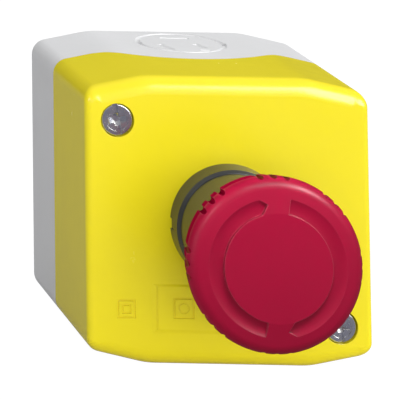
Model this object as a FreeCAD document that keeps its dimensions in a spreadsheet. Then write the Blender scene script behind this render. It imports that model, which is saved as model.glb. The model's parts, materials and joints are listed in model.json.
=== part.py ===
import FreeCAD, Part
import math
import os
import Sketcher
from FreeCAD import Placement, Rotation, Vector

# Emergency stop station: a moulded two-part enclosure with one 40 mm
# turn-to-release mushroom head in a 22 mm operator, two contact blocks inside.
#
# Frame: the back of the enclosure lies in the plane Y = 0 and touches the wall,
# the front looks towards -Y, +Z is up and +X is to the right seen from the
# front.  The operator's axis is the Y axis.  All sizes are millimetres.

os.makedirs("parts", exist_ok=True)
doc = FreeCAD.newDocument("EmergencyStopStation")


# ---------------------------------------------------------------- dimensions
class Size:
    """A length with its number and the sheet expression that drives it."""

    def __init__(self, value, text):
        self.value = float(value)
        self.text = text

    def __add__(self, other):
        other = size(other)
        return Size(self.value + other.value, f"({self.text} + {other.text})")

    def __radd__(self, other):
        return size(other) + self

    def __sub__(self, other):
        other = size(other)
        return Size(self.value - other.value, f"({self.text} - {other.text})")

    def __rsub__(self, other):
        return size(other) - self

    def __mul__(self, other):
        other = size(other)
        return Size(self.value * other.value, f"({self.text} * {other.text})")

    def __rmul__(self, other):
        return size(other) * self

    def __truediv__(self, other):
        other = size(other)
        return Size(self.value / other.value, f"({self.text} / {other.text})")

    def __neg__(self):
        return Size(-self.value, f"(0 - {self.text})")

    def root(self):
        return Size(math.sqrt(self.value), f"sqrt({self.text})")


def size(length):
    return length if isinstance(length, Size) else Size(length, f"{length:.6f}")


class Dimensions:
    """The driving dimensions: a sheet row and an attribute for each alias."""

    def __init__(self, table):
        sheet = doc.addObject("Spreadsheet::Sheet", "Dims")
        for row, (alias, value, note) in enumerate(table, 1):
            sheet.set(f"A{row}", note)
            sheet.set(f"B{row}", f"{value:g}")
            sheet.setAlias(f"B{row}", alias)
            setattr(self, alias, Size(value, "Dims." + alias))


# Alias, value, note.  "From wall" is a distance from Y = 0, "ahead" one from
# the cover's front face.
dim = Dimensions([
    # enclosure
    ("half_width", 34.0, "enclosure, half width"),
    ("half_height", 34.0, "enclosure, half height"),
    ("flat_half", 19.5, "enclosure, half width of the level top"),
    ("side_half", 30.9, "enclosure, half height of the straight side"),
    ("case_depth", 54.0, "enclosure, wall plane to front face"),
    ("case_wall", 2.6, "enclosure, wall thickness"),
    ("floor_thick", 2.5, "rear housing, floor thickness"),
    ("lid_thick", 3.0, "front cover, face thickness"),
    ("corner_radius", 4.0, "enclosure, side corner radius"),
    ("soft_radius", 20.0, "enclosure, radius where level top meets slant"),
    ("edge_round_top", 3.8, "front edge rounding, top and bottom"),
    ("edge_round_side", 1.6, "front edge rounding, sides"),
    ("seam_side", 22.4, "parting line at the sides, from wall"),
    ("seam_middle", 31.6, "parting line at mid width, from wall"),
    ("seam_radius", 32.6, "parting line, radius of the forward bow"),
    ("seam_blend", 8.0, "parting line, blend radius"),
    # screws and wall fixings
    ("screw_x", 26.35, "cover screw, distance from axis in X"),
    ("screw_z", 23.9, "cover screw, distance from axis in Z"),
    ("sink_radius", 4.0, "cover screw recess radius"),
    ("screw_seat", 51.2, "cover screw seat, from wall"),
    ("screw_head_radius", 3.85, "cover screw head radius"),
    ("screw_head_front", 53.7, "cover screw head front, from wall"),
    ("screw_head_back", 51.8, "cover screw head underside, from wall"),
    ("screw_shank_radius", 1.75, "cover screw shank radius"),
    ("screw_shank_end", 20.0, "cover screw shank end, from wall"),
    ("boss_top", 30.0, "rear housing screw boss end, from wall"),
    ("boss_radius", 4.0, "rear housing screw boss radius"),
    ("wall_hole_radius", 2.25, "wall fixing hole radius"),
    ("wall_sink_radius", 4.0, "wall fixing head recess radius"),
    ("wall_web", 3.5, "wall fixing hole length"),
    ("wall_boss", 8.0, "wall fixing boss end, from wall"),
    # cable knock-outs
    ("knockout_radius", 11.25, "knock-out radius"),
    ("knockout_x", 0.6, "knock-out centre, right of the middle"),
    ("knockout_y", 13.6, "knock-out centre, from wall"),
    ("knockout_groove", 0.7, "knock-out inner groove width"),
    ("knockout_round", 0.6, "knock-out outer groove, radius of its round section"),
    ("knockout_lift", 0.12, "knock-out outer groove, section centre outside the face"),
    ("knockout_depth", 0.6, "knock-out outer groove depth"),
    # front cover
    ("panel_hole_radius", 11.15, "operator hole in the cover"),
    ("key_width", 3.2, "anti-turn key notch width"),
    ("key_top", 11.95, "anti-turn key notch top, from axis"),
    ("pad_half", 18.6, "raised label pad, half width"),
    ("pad_top", 14.55, "raised label pad, top edge below axis"),
    ("pad_bottom", 26.0, "raised label pad, bottom edge below axis"),
    ("pad_rise", 0.35, "raised label pad, height"),
    ("pad_slope", 0.95, "raised label pad, width of its sloped ends"),
    ("pad_bevel", 0.45, "raised label pad, width of its top slope"),
    ("pad_foot", 0.9, "raised label pad, width of its bottom slope"),
    ("engrave_depth", 0.36, "engraved frame depth"),
    ("engrave_width", 0.46, "engraved frame line width"),
    ("square_big", 4.45, "double square, outer frame side"),
    ("square_small", 2.3, "double square, inner frame side"),
    ("square_pad", 5.0, "frame on the label pad, side"),
    ("square_x", 24.8, "double square, centre left of axis"),
    ("square_z", 20.5, "double square, centre below axis"),
    ("square_pad_x", 11.15, "pad frame, centre left of axis"),
    ("square_pad_z", 20.0, "pad frame, centre below axis"),
    ("ring_pad", 1.35, "plain ring inside the pad frame, outer radius"),
    ("gasket_outset", 0.8, "gasket, distance in from the outside"),
    ("gasket_width", 1.1, "gasket width"),
    ("gasket_thick", 1.4, "gasket thickness"),
    ("play", 0.05, "running clearance"),
    # operator body, seal, nut and clip
    ("bezel_radius", 14.1, "bezel radius at the cover"),
    ("bezel_front_radius", 13.9, "bezel radius at its front edge"),
    ("bezel_height", 4.95, "bezel front edge, ahead"),
    ("neck_radius", 13.25, "neck radius at the bezel"),
    ("neck_start", 5.85, "neck start, ahead"),
    ("neck_tip_radius", 13.1, "neck radius at its tip"),
    ("neck_tip", 27.5, "neck tip, ahead"),
    ("neck_bore", 10.25, "neck bore radius, spring chamber"),
    ("shoulder", 4.0, "spring shoulder, ahead"),
    ("barrel_radius", 11.0, "operator barrel radius"),
    ("barrel_bore", 8.8, "operator barrel bore radius"),
    ("barrel_end", 36.0, "barrel rear end, from wall"),
    ("panel_seal_inner", 11.45, "panel seal inner radius"),
    ("panel_seal_outer", 13.1, "panel seal outer radius"),
    ("panel_seal_thick", 0.85, "panel seal thickness"),
    ("nut_radius", 14.6, "fixing nut radius"),
    ("nut_length", 5.5, "fixing nut length"),
    ("thread_pitch", 1.5, "barrel thread ridge pitch"),
    ("thread_depth", 0.45, "barrel thread ridge depth"),
    ("clip_plane", 39.0, "latch clip plane, from wall"),
    ("clip_wire", 0.5, "latch clip wire radius"),
    ("clip_leg", 8.25, "latch clip leg, from axis"),
    ("clip_top", 12.2, "latch clip crossbar, above axis"),
    ("clip_low", 8.2, "latch clip leg end, below axis"),
    ("clip_bend", 2.5, "latch clip bend radius"),
    # mushroom cap
    ("cap_corner_radius", 20.55, "cap profile corner, before rounding"),
    ("cap_disc_radius", 12.35, "cap centre disc radius"),
    ("cap_front", 37.0, "cap front, ahead"),
    ("cap_edge_front", 35.75, "cap profile corner, ahead"),
    ("cap_rear_radius", 18.9, "cap rear rim radius"),
    ("cap_rear", 28.0, "cap rear rim, ahead"),
    ("cap_skirt_inner", 16.9, "cap skirt inner radius"),
    ("cap_roof", 34.2, "cap cavity roof, ahead"),
    ("cap_round", 2.9, "cap front edge rounding"),
    ("hub_radius", 7.5, "cap hub radius"),
    ("hub_end", 77.8, "cap hub rear end, from wall"),
    ("hub_bore", 4.95, "cap hub bore radius"),
    ("hub_deep", 86.1, "cap hub bore bottom, from wall"),
    ("arrow_outer", 15.65, "arrow recess outer radius"),
    ("arrow_deepest", 13.55, "arrow recess, radius where it is deepest"),
    ("arrow_hollow", 4.6, "arrow recess, radius of its hollow section"),
    ("arrow_centre", 40.53, "arrow recess, section centre, ahead"),
    ("notch_radius", 0.72, "grip notch radius"),
    ("notch_length", 9.0, "grip notch length"),
    ("notch_centre", 18.69, "grip notch, distance from axis at the rear rim"),
    # pusher, spindle and springs
    ("sleeve_radius", 8.72, "pusher sleeve radius"),
    ("sleeve_front", 74.5, "pusher front face, from wall"),
    ("flange_radius", 10.1, "pusher flange radius"),
    ("flange_back", 73.0, "pusher flange rear face, from wall"),
    ("tail_radius", 7.7, "pusher tail radius"),
    ("tail_front", 45.4, "pusher tail start, from wall"),
    ("tail_end", 37.8, "pusher tail end, from wall"),
    ("detent_radius", 7.3, "pusher detent groove radius"),
    ("travel", 5.0, "push travel"),
    ("pusher_bore", 5.0, "pusher bore radius"),
    ("pusher_chamber", 6.0, "pusher chamber radius"),
    ("pusher_step", 52.0, "pusher bore step, from wall"),
    ("push_pad_radius", 7.6, "push pad radius"),
    ("push_pad_back", 34.0, "push pad rear face, from wall"),
    ("spindle_radius", 4.95, "spindle radius"),
    ("spindle_tail_radius", 3.5, "spindle tail radius"),
    ("spindle_end", 43.0, "spindle rear end, from wall"),
    ("reset_spring_radius", 9.5, "reset spring mean radius"),
    ("reset_spring_wire", 0.55, "reset spring wire radius"),
    ("twist_spring_radius", 4.75, "twist spring mean radius"),
    ("twist_spring_wire", 0.36, "twist spring wire radius"),
    # contact blocks
    ("block_x", 6.2, "contact block centre, from axis"),
    ("block_half_width", 5.9, "contact block half width"),
    ("block_half_height", 18.0, "contact block half height"),
    ("block_back", 2.6, "contact block rear face, from wall"),
    ("block_front", 28.0, "contact block front face, from wall"),
    ("block_wall", 1.2, "contact block wall thickness"),
    ("chamber_half", 9.4, "contact chamber half height"),
    ("terminal_z", 13.7, "terminal screw, from axis"),
    ("terminal_ledge", 20.1, "terminal ledge, from wall"),
    ("strip_thick", 0.8, "contact strip thickness"),
    ("strip_half_width", 2.8, "contact strip half width"),
    ("plunger_tip", 33.8, "plunger tip, from wall"),
    ("plunger_half_x", 2.3, "plunger stem half width"),
    ("plunger_half_z", 1.8, "plunger stem half height"),
    ("carrier_half_x", 3.4, "contact carrier half width"),
    ("carrier_half_z", 2.6, "contact carrier half height"),
    ("carrier_back", 9.5, "contact carrier rear face, from wall"),
    ("nc_tip_plane", 17.1, "normally closed strip rear face, from wall"),
    ("no_tip_plane", 13.9, "normally open strip front face, from wall"),
    ("rivet_thick", 0.4, "contact rivet thickness"),
    ("rivet_radius", 1.3, "contact rivet radius"),
    ("rivet_z", 7.2, "contact rivet, from axis"),
    ("contact_spring_radius", 1.45, "contact spring mean radius"),
    ("contact_spring_wire", 0.24, "contact spring wire radius"),
])

EMBED = 0.2                     # how far an added rib or boss sinks into its wall
OVER = 1                        # how far a cutting tool runs past a face
SIDES = ((0, 1), (1, -1))       # number and sign of each one of a mirrored pair
front = -dim.case_depth         # outer face of the cover
lid_inside = front + dim.lid_thick


def ahead(distance):
    """Y of a plane a distance in front of the cover's face."""
    return front - distance


def about(centre, half):
    """The two ends of a stretch centred on a coordinate."""
    return centre - half, centre + half


def span(near, far, sign):
    """A stretch between two distances from the origin, on the side of a sign."""
    return (near, far) if sign > 0 else (-far, -near)


# ------------------------------------------------------------ solids, booleans
def bind(obj, prop, length):
    if "Dims." in length.text:
        obj.setExpression(prop, length.text)


def drive(obj, **lengths):
    """Set length properties and bind them to the sheet."""
    for prop, length in lengths.items():
        length = size(length)
        setattr(obj, prop, length.value)
        bind(obj, prop, length)


def place(obj, x, y, z, rotation=None):
    base = [size(x), size(y), size(z)]
    obj.Placement = Placement(Vector(*[c.value for c in base]), rotation or Rotation())
    for axis, coordinate in zip("xyz", base):
        bind(obj, "Placement.Base." + axis, coordinate)


def box(name, x0, x1, y0, y1, z0, z1):
    solid = doc.addObject("Part::Box", name)
    drive(solid, Length=x1 - x0, Width=y1 - y0, Height=z1 - z0)
    place(solid, x0, y0, z0)
    return solid


ALONG_Y = Rotation(Vector(1, 0, 0), -90)


def cyl(name, radius, y0, y1, x, z):
    """A cylinder along Y."""
    solid = doc.addObject("Part::Cylinder", name)
    drive(solid, Radius=radius, Height=y1 - y0)
    place(solid, x, y0, z, ALONG_Y)
    return solid


def upright_cyl(name, radius, z0, z1, x, y):
    """A cylinder along Z."""
    solid = doc.addObject("Part::Cylinder", name)
    drive(solid, Radius=radius, Height=z1 - z0)
    place(solid, x, y, z0)
    return solid


def torus(name, mean_radius, section_radius, x, y, z, rotation=None):
    solid = doc.addObject("Part::Torus", name)
    drive(solid, Radius1=mean_radius, Radius2=section_radius)
    place(solid, x, y, z, rotation)
    return solid


def fuse(name, *shapes):
    result = doc.addObject("Part::MultiFuse", name)
    result.Shapes = list(shapes)
    return result


def cut(name, base, *tools):
    tool = tools[0] if len(tools) == 1 else fuse(name + "_tools", *tools)
    result = doc.addObject("Part::Cut", name)
    result.Base = base
    result.Tool = tool
    return result


def common(name, *shapes):
    result = doc.addObject("Part::MultiCommon", name)
    result.Shapes = list(shapes)
    return result


def group(name, shapes):
    result = doc.addObject("Part::Compound", name)
    result.Links = list(shapes)
    return result


# ---------------------------------------------------------- sketches, features
START, END, CENTRE = 1, 2, 3    # point codes of sketch geometry
X_AXIS, Y_AXIS = -1, -2         # a sketch's own axes; point 1 of -1 is its origin


def new_body(name):
    return doc.addObject("PartDesign::Body", name)


def origin_part(body, role):
    return [o for o in body.Origin.OriginFeatures if o.Role == role][0]


def new_sketch(body, name, role, offset=0):
    """A sketch on an origin plane.  The normal of XZ_Plane points to -Y."""
    sketch = body.newObject("Sketcher::SketchObject", name)
    sketch.AttachmentSupport = [(origin_part(body, role), "")]
    sketch.MapMode = "FlatFace"
    offset = size(offset)
    sketch.AttachmentOffset = Placement(Vector(0, 0, offset.value), Rotation())
    bind(sketch, "AttachmentOffset.Base.z", offset)
    return sketch


def flat(point):
    return Vector(size(point[0]).value, size(point[1]).value, 0)


class Profile:
    """Adds geometry to a sketch, and constraints that tie it to the sheet."""

    def __init__(self, sketch):
        self.sketch = sketch
        self.constraints = []
        self.driven = []

    def line(self, start, end):
        return self.sketch.addGeometry(Part.LineSegment(flat(start), flat(end)), False)

    def circle(self, centre, radius):
        curve = Part.Circle(flat(centre), Vector(0, 0, 1), size(radius).value)
        return self.sketch.addGeometry(curve, False)

    def arc(self, centre, radius, start, end):
        """An arc that runs anticlockwise from start to end."""
        curve = Part.Circle(flat(centre), Vector(0, 0, 1), size(radius).value)
        rays = [flat(point) - flat(centre) for point in (start, end)]
        angles = [math.atan2(ray.y, ray.x) for ray in rays]
        return self.sketch.addGeometry(Part.ArcOfCircle(curve, *angles), False)

    def constrain(self, kind, *values):
        self.constraints.append(Sketcher.Constraint(kind, *values))

    def constrain_size(self, kind, *values):
        """A constraint whose last value is a Size."""
        length = size(values[-1])
        self.constrain(kind, *values[:-1], length.value)
        if "Dims." in length.text:
            self.driven.append((len(self.constraints) - 1, length.text))

    def join(self, first, first_point, second, second_point):
        self.constrain("Coincident", first, first_point, second, second_point)

    def pin(self, geometry, code, point):
        """Fix a point of the sketch at two lengths from the origin."""
        for kind, axis, length in (("DistanceX", Y_AXIS, point[0]),
                                   ("DistanceY", X_AXIS, point[1])):
            if abs(size(length).value) < 1e-9:
                self.constrain("PointOnObject", geometry, code, axis)
            else:
                self.constrain_size(kind, -1, 1, geometry, code, length)

    def radius(self, geometry, length):
        self.constrain_size("Radius", geometry, length)

    def apply(self):
        first = self.sketch.ConstraintCount
        self.sketch.addConstraint(self.constraints)
        for index, text in self.driven:
            self.sketch.setExpression(f"Constraints[{first + index}]", text)


def polygon(sketch, points):
    profile = Profile(sketch)
    count = len(points)
    sides = [profile.line(points[i], points[(i + 1) % count]) for i in range(count)]
    for i in range(count):
        profile.join(sides[i], END, sides[(i + 1) % count], START)
    for side, point in zip(sides, points):
        profile.pin(side, START, point)
    profile.apply()


def pad(body, sketch, length, name, reverse=False):
    feature = body.newObject("PartDesign::Pad", name)
    feature.Profile = sketch
    drive(feature, Length=length)
    feature.Reversed = reverse
    body.Tip = feature
    doc.recompute()


def spin(body, sketch, name, kind="Revolution"):
    """A full turn of a sketch round Y; kind Groove removes material."""
    feature = body.newObject("PartDesign::" + kind, name)
    feature.Profile = sketch
    feature.ReferenceAxis = (sketch, ["V_Axis"])
    feature.Angle = 360.0
    body.Tip = feature
    doc.recompute()
    return feature


def ring_edges(shape, radius, y):
    """Names of the circular edges round the Y axis at a radius and a Y."""
    radius, y = size(radius).value, size(y).value
    found = []
    for i, edge in enumerate(shape.Edges, 1):
        curve = edge.Curve
        if hasattr(curve, "Radius") and abs(curve.Radius - radius) < 1e-3 \
                and abs(curve.Center.y - y) < 1e-3 \
                and math.hypot(curve.Center.x, curve.Center.z) < 1e-3:
            found.append(f"Edge{i}")
    return found


def rounded(body, edges, radius, name):
    if not edges:
        raise RuntimeError("no edges for " + name)
    last = body.Tip
    feature = body.newObject("PartDesign::Fillet", name)
    feature.Base = (last, edges)
    drive(feature, Radius=radius)
    body.Tip = feature
    doc.recompute()


def turned(name, points, fillets=()):
    """A closed profile of (radius, y) points spun round Y.

    Each fillet is the radius and y of an edge, and its rounding.
    """
    body = new_body(name)
    sketch = new_sketch(body, name + "_profile", "XY_Plane")
    polygon(sketch, points)
    spin(body, sketch, name + "_turn")
    for k, (radius, y, rounding) in enumerate(fillets):
        rounded(body, ring_edges(body.Tip.Shape, radius, y), rounding, f"{name}_round{k}")
    return body


def ring(name, inner, outer, y0, y1):
    return turned(name, [(inner, y0), (outer, y0), (outer, y1), (inner, y1)])


def snap_ring(name, inner, outer, y0, y1, half_gap):
    """A flat ring with a gap at its foot."""
    gap = box(name + "_gap", *about(0, half_gap), y0 - OVER, y1 + OVER, -outer - OVER, 0)
    return cut(name, ring(name + "_ring", inner, outer, y0, y1), gap)


def coil(name, mean, wire, y0, y1, turns, x=0, z=0):
    """A helical spring along Y between two planes, as a swept round wire."""
    end_gap = 0.05
    start = y0 + wire + end_gap
    length = y1 - y0 - wire * 2 - end_gap * 2
    path = doc.addObject("Part::Helix", name + "_path")
    drive(path, Radius=mean, Height=length, Pitch=length / turns)
    place(path, x, start, z, ALONG_Y)
    section = doc.addObject("Part::Circle", name + "_wire")
    drive(section, Radius=wire)
    place(section, x + mean, start, z)
    sweep = doc.addObject("Part::Sweep", name)
    sweep.Sections = [section]
    sweep.Spine = (path, ["Edge1"])
    sweep.Solid = True
    sweep.Frenet = True
    return sweep


# ----------------------------------------------------- the enclosure's outline
def outline(inset):
    """The eight-cornered outline, moved in by an inset, in X and Z."""
    run = dim.half_width - dim.flat_half
    rise = dim.half_height - dim.side_half
    slant = (run * run + rise * rise).root()
    right, top = dim.half_width - inset, dim.half_height - inset
    # distance of the moved slanted side from the axis
    reach = rise * dim.flat_half / slant + run * dim.half_height / slant - inset
    top_x = (reach - run / slant * top) * slant / rise
    side_z = (reach - rise / slant * right) * slant / run
    return [(right, side_z), (top_x, top), (-top_x, top), (-right, side_z),
            (-right, -side_z), (-top_x, -top), (top_x, -top), (right, -side_z)]


def edges_along_y(shape, distance):
    """Names of the straight edges along Y at a distance either side in X."""
    found = []
    for i, edge in enumerate(shape.Edges, 1):
        if edge.Curve.TypeId != "Part::GeomLine":
            continue
        a, b = edge.Vertexes[0].Point, edge.Vertexes[-1].Point
        if abs(a.x - b.x) < 1e-6 and abs(a.z - b.z) < 1e-6 \
                and abs(abs(a.x) - distance.value) < 1e-3:
            found.append(f"Edge{i}")
    return found


def prism(name, inset, y0, y1, corner, soft=None):
    """The outline extruded from y0 forwards to y1, with its long edges rounded."""
    points = outline(inset)
    body = new_body(name)
    sketch = new_sketch(body, name + "_outline", "XZ_Plane", -y0)
    polygon(sketch, points)
    pad(body, sketch, y0 - y1, name + "_pad")
    rounded(body, edges_along_y(body.Tip.Shape, points[0][0]), corner, name + "_corners")
    if soft is not None:
        rounded(body, edges_along_y(body.Tip.Shape, points[1][0]), soft, name + "_soft")
    return body


def behind(name, shift):
    """Everything behind the parting line, the line moved forward by shift.

    The line is level at the sides and bows forward in one arc in the middle.
    """
    reach, back = 45, 8         # clear of the enclosure at the sides and behind
    base, top = -dim.seam_side - shift, -dim.seam_middle - shift
    bow_y = top + dim.seam_radius
    blend_y = base - dim.seam_blend
    apart = dim.seam_radius + dim.seam_blend
    blend_x = (apart * apart - (bow_y - blend_y) * (bow_y - blend_y)).root()
    touch_x = blend_x * dim.seam_radius / apart
    touch_y = bow_y + (blend_y - bow_y) * dim.seam_radius / apart
    level_left, level_right = (-blend_x, base), (blend_x, base)
    bow_left, bow_right = (-touch_x, touch_y), (touch_x, touch_y)
    side_left, side_right = (-reach, base), (reach, base)
    back_left, back_right = (-reach, back), (reach, back)

    body = new_body(name)
    sketch = new_sketch(body, name + "_line", "XY_Plane", -reach)
    profile = Profile(sketch)
    ids = [profile.line(side_left, level_left),
           profile.arc((-blend_x, blend_y), dim.seam_blend, bow_left, level_left),
           profile.arc((0, bow_y), dim.seam_radius, bow_left, bow_right),
           profile.arc((blend_x, blend_y), dim.seam_blend, level_right, bow_right),
           profile.line(level_right, side_right),
           profile.line(side_right, back_right),
           profile.line(back_right, back_left),
           profile.line(back_left, side_left)]
    for a, a_end, b, b_end in ((0, END, 1, END), (1, START, 2, START), (2, END, 3, END),
                               (3, START, 4, START), (4, END, 5, START), (5, END, 6, START),
                               (6, END, 7, START), (7, END, 0, START)):
        profile.join(ids[a], a_end, ids[b], b_end)
    for k, code, point in ((0, START, side_left), (0, END, level_left), (2, START, bow_left),
                           (2, END, bow_right), (4, START, level_right), (5, START, side_right),
                           (6, START, back_right), (7, START, back_left)):
        profile.pin(ids[k], code, point)
    for k, radius in ((1, dim.seam_blend), (2, dim.seam_radius), (3, dim.seam_blend)):
        profile.radius(ids[k], radius)
    profile.apply()
    pad(body, sketch, reach * 2, name + "_pad")
    return body


def case_shell():
    """The whole enclosure as a block with its front edge rounded.

    A big rounding over the top, bottom and slants runs out to a small one
    down the sides, through the four corner arcs.
    """
    block = prism("case_block", 0, 0, front, dim.corner_radius, dim.soft_radius)
    biggest_corner = 10         # tells the corner arcs from the soft ones

    def rounding(point):
        at_side = abs(abs(point.x) - dim.half_width.value) < 1e-3
        return (dim.edge_round_side if at_side else dim.edge_round_top).value

    items = []
    for i, edge in enumerate(block.Shape.Edges, 1):
        if edge.BoundBox.YMax > front.value + 1e-4:
            continue
        first, last = edge.FirstParameter, edge.LastParameter
        if hasattr(edge.Curve, "Radius") and edge.Curve.Radius < biggest_corner:
            ends = [rounding(edge.valueAt(first)), rounding(edge.valueAt(last))]
        else:
            ends = [rounding(edge.valueAt((first + last) / 2))] * 2
        items.append((i, *ends))
    fillet = doc.addObject("Part::Fillet", "case_shell")
    fillet.Base = block
    fillet.Edges = items
    doc.recompute()
    return fillet


shell = case_shell()
cavity = prism("case_cavity", dim.case_wall, -dim.floor_thick, lid_inside, 1.6)
rear_side = behind("rear_side", 0)

# Cover screws at upper left and lower right, wall fixings at the other corners.
SCREW_SIGNS = ((-1, 1), (1, -1))
SCREWS = [(dim.screw_x * sign_x, dim.screw_z * sign_z) for sign_x, sign_z in SCREW_SIGNS]
FIXINGS = [(-x, z) for x, z in SCREWS]


# ------------------------------------------------------------- rear housing
# Shallow troughs in the knock-outs: centre x and y, half length, turn in degrees
TROUGHS = ((0.6, -7.85, 3.65, 0.0), (-4.3, -18.2, 3.3, -75.0),
           (4.7, -16.6, 2.4, -70.0), (4.6, -21.6, 1.3, -5.0))


def knockout(k, sign):
    """Tools for a thin ring round a cable entry, in the top or bottom face."""
    skin = 0.6                  # material between the outer and inner grooves
    bridge_radius = 1.7
    pit_radius, pit_depth = 0.95, 1.5
    trough_radius, trough_lift = 0.8, 0.35
    x, y = dim.knockout_x, -dim.knockout_y
    mean = dim.knockout_radius - dim.knockout_round
    tools = [torus(f"ko_out{k}", mean, dim.knockout_round, x, y,
                   (dim.half_height + dim.knockout_lift) * sign)]

    z0, z1 = span(dim.half_height - dim.case_wall - OVER,
                  dim.half_height - dim.knockout_depth - skin, sign)
    disc = upright_cyl(f"ko_in{k}", dim.knockout_radius, z0, z1, x, y)
    core = upright_cyl(f"ko_in_core{k}", dim.knockout_radius - dim.knockout_groove, z0, z1, x, y)
    # the inner groove stops short of a pit on each side
    bridges = [upright_cyl(f"ko_bridge{k}{side + 1}", bridge_radius, z0 - 0.1, z1 + 0.1,
                           x + side * mean, y) for side in (-1, 1)]
    tools.append(cut(f"ko_in_ring{k}", disc, core, *bridges))

    z0, z1 = span(dim.half_height - pit_depth, dim.half_height + OVER, sign)
    tools += [upright_cyl(f"ko_pit{k}{side + 1}", pit_radius, z0, z1, x + side * mean, y)
              for side in (-1, 1)]

    for j, (x, y, half, degrees) in enumerate(TROUGHS):
        bar = doc.addObject("Part::Cylinder", f"ko_trough{k}{j}")
        drive(bar, Radius=trough_radius, Height=2 * half)
        turn = Rotation(Vector(0, 0, 1), degrees)
        start = Vector(x, y, 0) - turn.multVec(Vector(half, 0, 0))
        place(bar, start.x, start.y, (dim.half_height + trough_lift) * sign,
              turn.multiply(Rotation(Vector(0, 1, 0), 90)))
        tools.append(bar)
    return tools


def rear_housing():
    rib_front, rib_half, rib_x, rib_z = -20, 0.8, 5.4, 7.6
    fix_boss_wall = 1.5
    hole_end = -18
    post_half, post_front = 2.2, -dim.block_front - 1.4
    locator_front, locator_half, locator_thick = -6.5, 12, 1.3
    root = -dim.floor_thick + EMBED
    block_top = dim.block_half_height

    half_shell = cut("rear_shell", common("rear_block", shell, rear_side), cavity)
    adds = []
    for k, (sign_x, sign_z) in enumerate(SCREW_SIGNS):
        x, z = SCREWS[k]
        adds += [cyl(f"rear_boss{k}", dim.boss_radius, -dim.boss_top, root, x, z),
                 box(f"rear_rib{k}", *span(dim.screw_x, dim.screw_x + rib_x, sign_x),
                     rib_front, root, *about(z, rib_half)),
                 box(f"rear_rib_up{k}", *about(x, rib_half), rib_front, root,
                     *span(dim.screw_z, dim.screw_z + rib_z, sign_z))]
    for k, (x, z) in enumerate(FIXINGS):
        adds.append(cyl(f"fix_boss{k}", dim.wall_sink_radius + fix_boss_wall,
                        -dim.wall_boss, root, x, z))
    # latching posts above and below the contact blocks, and two locating ribs
    for k, sign in SIDES:
        beside = dim.block_x + dim.block_half_width + 0.15
        adds += [box(f"post{k}", *about(0, post_half), post_front, root,
                     *span(block_top + 0.2, block_top + 2.1, sign)),
                 box(f"hook{k}", *about(0, post_half), post_front, -dim.block_front - 0.1,
                     *span(block_top - 1.2, block_top + 1.0, sign)),
                 box(f"locator{k}", *span(beside, beside + locator_thick, sign),
                     locator_front, root, *about(0, locator_half))]
    full = fuse("rear_full", half_shell, *adds)

    tools = [cyl(f"rear_screw_hole{k}", dim.screw_shank_radius + dim.play,
                 -dim.boss_top - OVER, hole_end, x, z) for k, (x, z) in enumerate(SCREWS)]
    for k, (x, z) in enumerate(FIXINGS):
        boss_front = -dim.wall_boss - OVER
        tools += [cyl(f"fix_hole{k}", dim.wall_hole_radius, boss_front, OVER, x, z),
                  cyl(f"fix_sink{k}", dim.wall_sink_radius, boss_front, -dim.wall_web, x, z)]
    for k, sign in SIDES:
        tools += knockout(k, sign)
    return cut("rear_housing", full, *tools)


# ---------------------------------------------------- front cover and gasket
def label_pad():
    """The raised pad below the operator, with all four sides sloped."""
    pad_x, slope = dim.pad_half, dim.pad_slope
    raised = doc.addObject("Part::Wedge", "label_pad")
    drive(raised, Xmin=slope - pad_x, Xmax=pad_x - slope, X2min=-pad_x, X2max=pad_x,
          Zmin=-dim.pad_bottom + dim.pad_foot, Zmax=-dim.pad_top - dim.pad_bevel,
          Z2min=-dim.pad_bottom, Z2max=-dim.pad_top, Ymin=front - dim.pad_rise, Ymax=front)
    root = box("label_root", *about(0, pad_x), front, front + 1, -dim.pad_bottom, -dim.pad_top)
    return [raised, root]


def frame(name, side, x, z, y1):
    """A square engraved line with its floor at y1."""
    outer, inner, y0 = side / 2, side / 2 - dim.engrave_width, front - OVER
    big = box(name + "_o", *about(x, outer), y0, y1, *about(z, outer))
    small = box(name + "_i", *about(x, inner), y0 - 0.1, y1 + 0.1, *about(z, inner))
    return cut(name, big, small)


def engravings():
    ring_line, ring_depth = 0.35, 0.2
    line_width, line_depth = 0.3, 0.16
    pad_face = front - dim.pad_rise
    y0 = front - OVER
    mark_x, mark_z = -dim.square_x, -dim.square_z
    pad_x, pad_z = -dim.square_pad_x, -dim.square_pad_z
    depth = dim.engrave_depth
    tools = [frame("mark_outer", dim.square_big, mark_x, mark_z, front + depth),
             frame("mark_inner", dim.square_small, mark_x, mark_z, front + depth),
             frame("mark_pad", dim.square_pad, pad_x, pad_z, pad_face + depth),
             cut("mark_ring",
                 cyl("mark_ring_o", dim.ring_pad, y0, pad_face + ring_depth, pad_x, pad_z),
                 cyl("mark_ring_i", dim.ring_pad - ring_line, y0 - 0.1, front, pad_x, pad_z))]
    # a fine line just inside the pad's sloped ends
    line_x = dim.pad_half - dim.pad_slope
    for name, sign in (("left", -1), ("right", 1)):
        tools.append(box("pad_line_" + name, *span(line_x - line_width, line_x, sign),
                         y0, pad_face + line_depth,
                         -dim.pad_bottom + dim.pad_foot, -dim.pad_top - dim.pad_bevel))
    return tools


def band(name, inset, width, shift):
    """A ring that follows the outline, limited to the rear of a shifted seam."""
    corner = dim.corner_radius - inset
    outer = prism(name + "_outer", inset, -10, -40, corner)
    inner = prism(name + "_inner", inset + width, -9, -41, corner - width)
    return common(name + "_band", cut(name + "_loop", outer, inner),
                  behind(name + "_limit", shift))


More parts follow.
